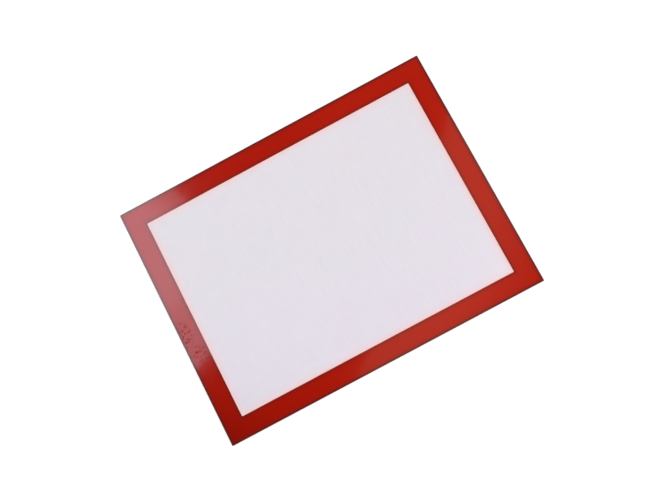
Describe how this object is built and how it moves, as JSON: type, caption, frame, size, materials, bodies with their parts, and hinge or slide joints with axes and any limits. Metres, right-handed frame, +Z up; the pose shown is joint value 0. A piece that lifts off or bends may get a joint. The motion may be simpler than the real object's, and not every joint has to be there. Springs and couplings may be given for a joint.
{
  "type": "silicone baking mat",
  "caption": "Flat rectangular silicone baking mat: glass cloth sealed between two silicone coats, with a red border printed round the upper face.",
  "frame": {"origin": "middle of the underside, the face that rests on a tray or worktop", "axes": "+X along the long side, +Y along the short side, +Z upwards out of the printed face"},
  "size_m": [0.4, 0.305, 0.0008],
  "materials": {
    "clear_silicone": "satin, translucent milky white",
    "glass_cloth": "plain weave of white glass yarns",
    "red_silicone_ink": "glossy opaque red"
  },
  "bodies": {
    "root": {"lower_coat": "clear_silicone", "glass_cloth": "glass_cloth", "upper_coat": "clear_silicone", "border_print": "red_silicone_ink"}
  },
  "joints": []
}
